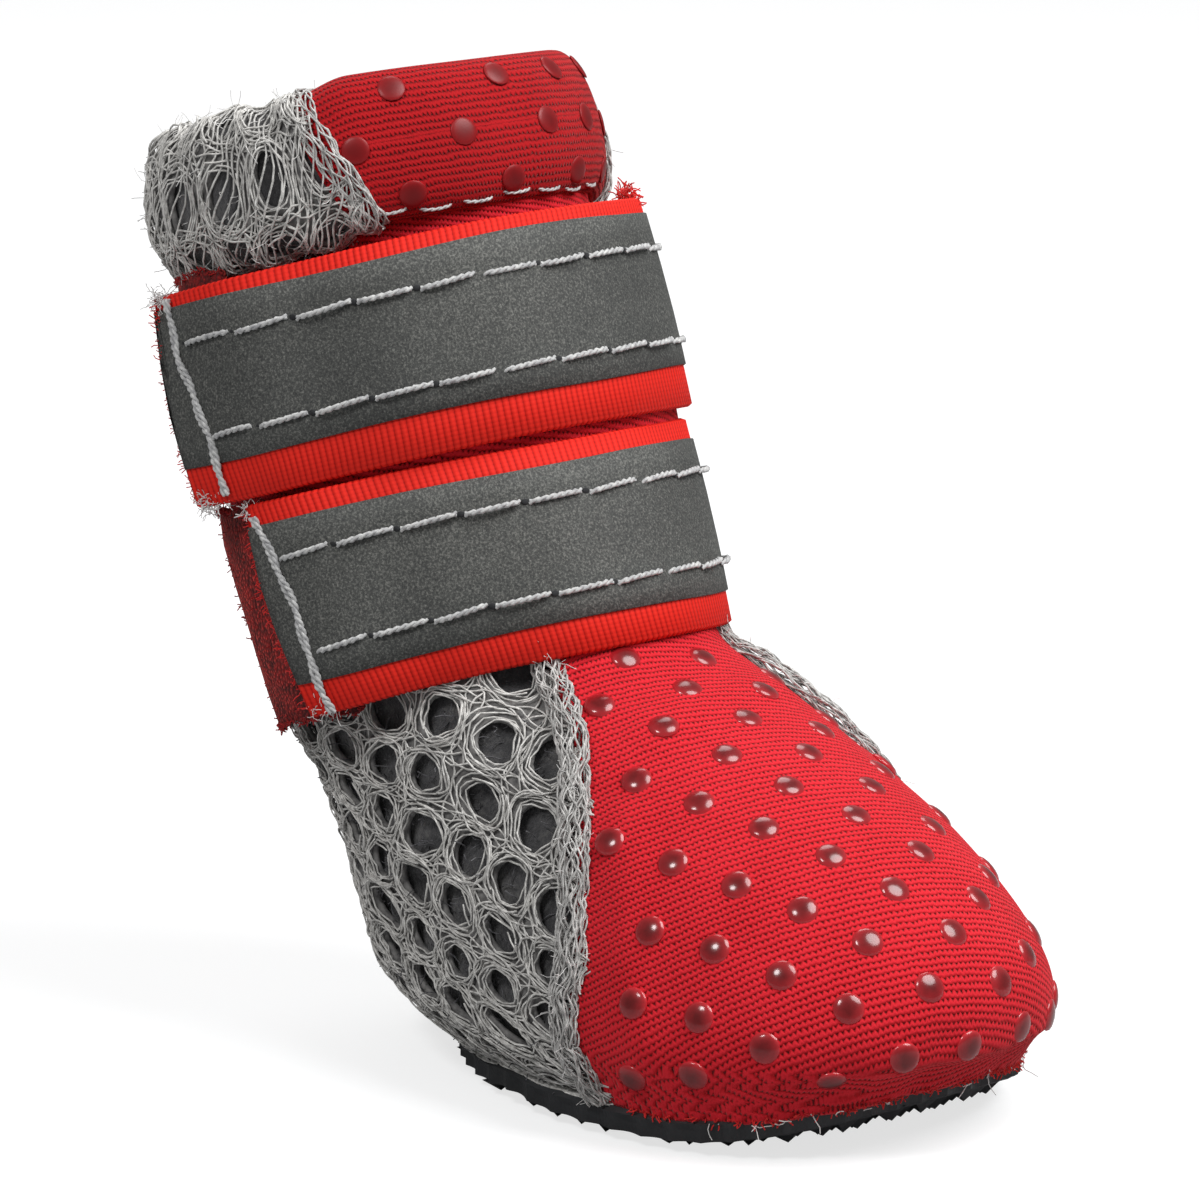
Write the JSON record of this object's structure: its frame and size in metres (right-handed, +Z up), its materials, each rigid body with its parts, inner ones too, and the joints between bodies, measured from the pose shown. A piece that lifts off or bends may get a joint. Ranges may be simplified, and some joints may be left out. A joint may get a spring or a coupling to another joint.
{
  "type": "dog boot",
  "caption": "Small dog boot: treaded rubber sole, knit-faced foam toe and front, air-mesh sides and back, folded collar, back slit and reflective hook-and-loop straps.",
  "frame": {"origin": "on the ground under the middle of the sole, on the forefoot's flat spot", "axes": "+X towards the toe, +Y to the boot's left, +Z up"},
  "size_m": [0.1054, 0.0535, 0.0981],
  "materials": {
    "rubber": "matt black moulded rubber with a fine pyramid tread",
    "foam": "plain pale grey foam board",
    "knit": "red warp-knit face on foam, with small clear rubber grip dots",
    "air_mesh": "grey spacer mesh with round holes over a dark fuzzy backing",
    "webbing": "bright red ribbed hook-and-loop webbing",
    "tape": "grey glass-bead reflective tape, fine grained",
    "pile": "dark red brushed loop pile",
    "thread": "off-white twisted polyester thread",
    "grip_dots": "clear glossy rubber domes"
  },
  "bodies": {
    "root": {"outsole": "rubber", "insole": "foam", "upper": "knit", "strap_upper": "webbing", "strap_lower": "webbing", "pile_tab_upper": "pile", "pile_tab_lower": "pile"}
  },
  "joints": []
}
